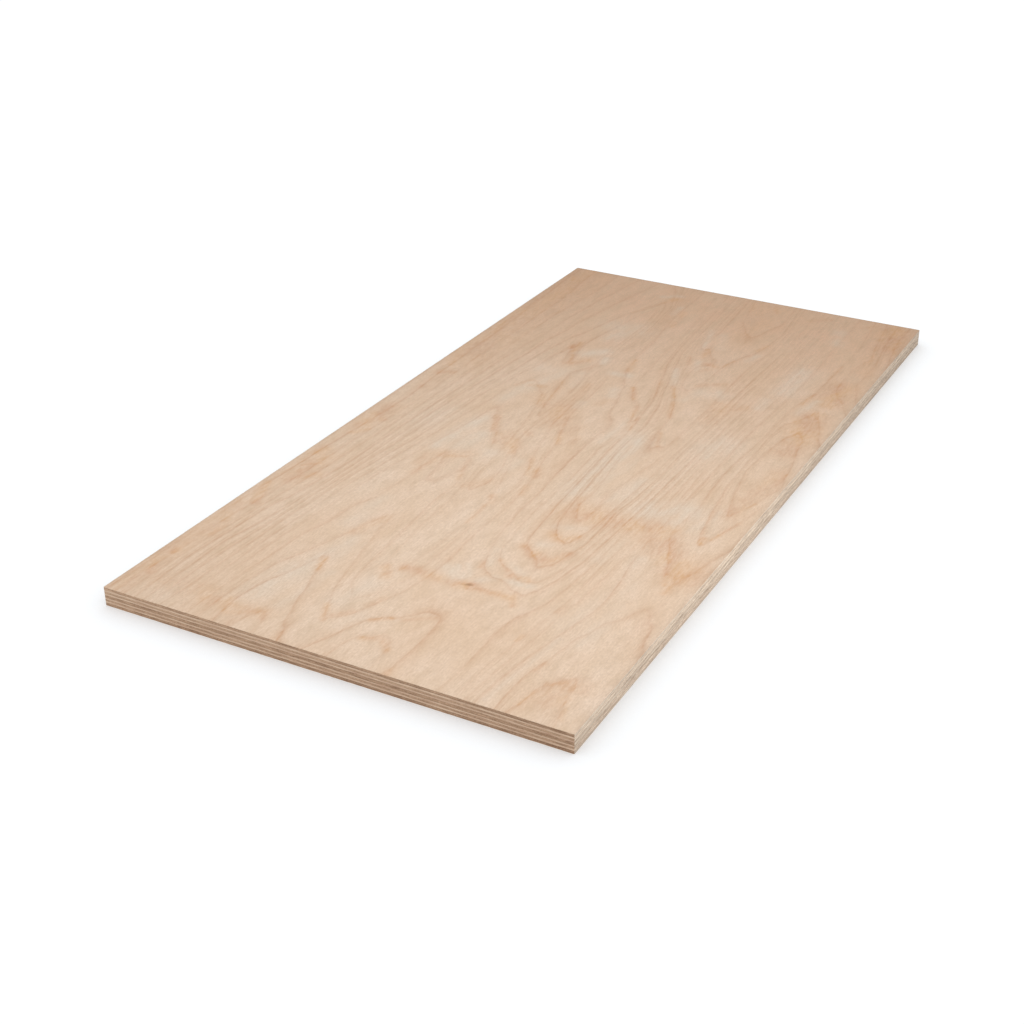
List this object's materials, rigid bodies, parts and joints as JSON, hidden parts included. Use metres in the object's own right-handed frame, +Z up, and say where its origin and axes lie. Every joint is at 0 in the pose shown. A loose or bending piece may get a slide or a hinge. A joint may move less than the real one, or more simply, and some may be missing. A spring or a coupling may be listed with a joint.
{
  "type": "plywood sheet",
  "caption": "Flat rectangular plywood sheet: crosswise-glued veneers with a rotary-cut face, sawn square on all four edges and sanded.",
  "frame": {"origin": "middle of the underside of the sheet, which is the face it rests on", "axes": "+Z up through the thickness, +Y along the length and the face grain, +X across the width"},
  "size_m": [0.61, 1.22, 0.025],
  "materials": {
    "face_veneer": "rotary-cut pale hardwood veneer, sanded, unfinished",
    "long_grain_ply": "inner veneer with its grain along the sheet, showing sawn at the edges",
    "crossband_ply": "inner veneer with its grain across the sheet, showing sawn at the edges"
  },
  "bodies": {
    "root": {"back_veneer": "face_veneer", "lower_outer_crossband": "crossband_ply", "lower_long_ply": "long_grain_ply", "lower_inner_crossband": "crossband_ply", "core_ply": "long_grain_ply", "upper_inner_crossband": "crossband_ply", "upper_long_ply": "long_grain_ply", "upper_outer_crossband": "crossband_ply", "face_veneer": "face_veneer"}
  },
  "joints": []
}
